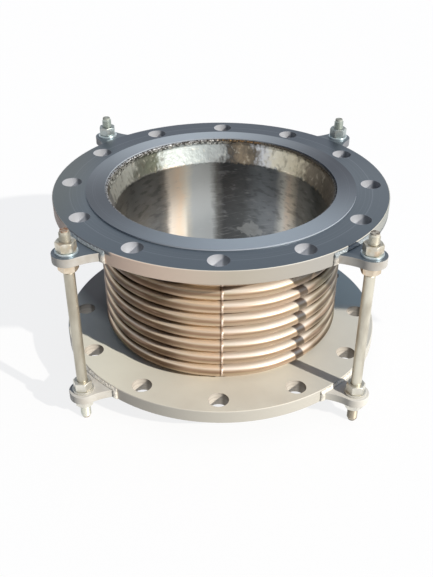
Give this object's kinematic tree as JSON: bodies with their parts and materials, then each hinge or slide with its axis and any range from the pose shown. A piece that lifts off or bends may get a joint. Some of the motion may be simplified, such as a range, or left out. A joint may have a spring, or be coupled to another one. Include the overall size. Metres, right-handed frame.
{
  "type": "expansion joint",
  "caption": "Flanged metal bellows expansion joint with an inner flow sleeve and tie rods nutted into lugs on drilled plate flanges.",
  "frame": {"origin": "on the pipe axis, in the plane of the lower ends of the four tie rods, on which the joint stands", "axes": "+Z along the pipe axis, from the lower flange to the upper flange; X and Y each run midway between two tie rods"},
  "size_m": [0.3899, 0.39, 0.2456],
  "materials": {
    "blue_grey_paint": "satin",
    "silver_paint": "satin",
    "bellows_steel": "polished",
    "sleeve_steel": "polished",
    "zinc_plate": "satin",
    "washer_zinc": "bright",
    "weld_metal": "rough"
  },
  "bodies": {
    "lower": {"lower_flange": "silver_paint", "lower_lug_1": "silver_paint", "lower_lug_2": "silver_paint", "lower_lug_3": "silver_paint", "lower_lug_4": "silver_paint", "lower_lug_welds": "weld_metal", "lower_bore_weld": "weld_metal", "bellows": "bellows_steel", "tie_rod_1": "zinc_plate", "tie_rod_2": "zinc_plate", "tie_rod_3": "zinc_plate", "tie_rod_4": "zinc_plate", "lower_outer_nuts": "zinc_plate", "lower_inner_nuts": "zinc_plate", "lower_washers": "washer_zinc"},
    "upper": {"upper_flange": "blue_grey_paint", "upper_lug_1": "blue_grey_paint", "upper_lug_2": "blue_grey_paint", "upper_lug_3": "blue_grey_paint", "upper_lug_4": "blue_grey_paint", "upper_lug_welds": "weld_metal", "upper_bore_weld": "weld_metal", "flow_sleeve": "sleeve_steel", "upper_inner_nuts": "zinc_plate", "upper_outer_nuts": "zinc_plate", "upper_washers": "washer_zinc"}
  },
  "joints": [
    {"name": "axial_travel", "type": "slide", "parent": "lower", "child": "upper", "axis": [0, 0, 1], "range_m": [-0.03, 0.008], "stiffness_N_per_m": 160000, "springref_m": 0.0006, "deforming": ["bellows"]}
  ]
}
